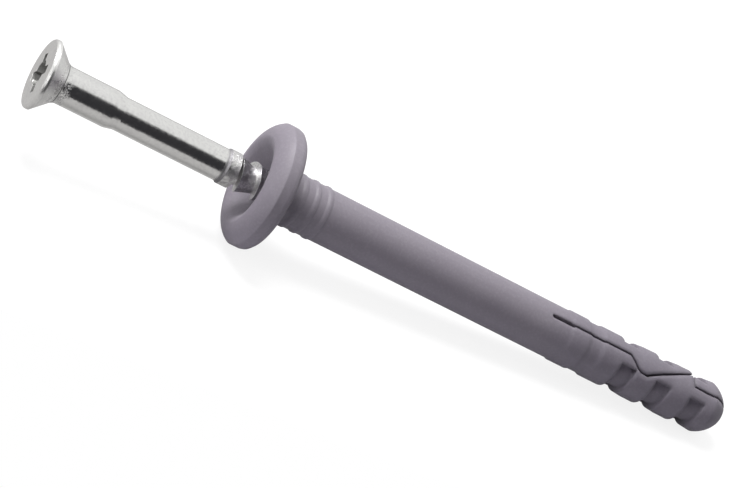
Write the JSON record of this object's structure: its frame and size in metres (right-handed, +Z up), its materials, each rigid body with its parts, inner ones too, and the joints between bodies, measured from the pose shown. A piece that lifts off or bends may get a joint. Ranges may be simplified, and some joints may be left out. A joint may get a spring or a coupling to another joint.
{
  "type": "hammer fixing plug",
  "caption": "Nylon wall plug with a broad dished collar, barbed slotted expansion legs and a countersunk steel drive nail set part of the way in.",
  "frame": {"origin": "centre of the part's footprint on the floor it lies on", "axes": "+X along the part from nail head to sleeve tip (the common axis dips 3.75 degrees towards the tip), +Z up from the floor, +Y to the side"},
  "size_m": [0.1152, 0.0182, 0.0182],
  "materials": {
    "nylon": "fine matt moulded, grey with a mauve cast",
    "zinc_steel": "bright zinc plated, smooth"
  },
  "bodies": {
    "root": {"plug_sleeve": "nylon", "drive_nail": "zinc_steel"}
  },
  "joints": []
}
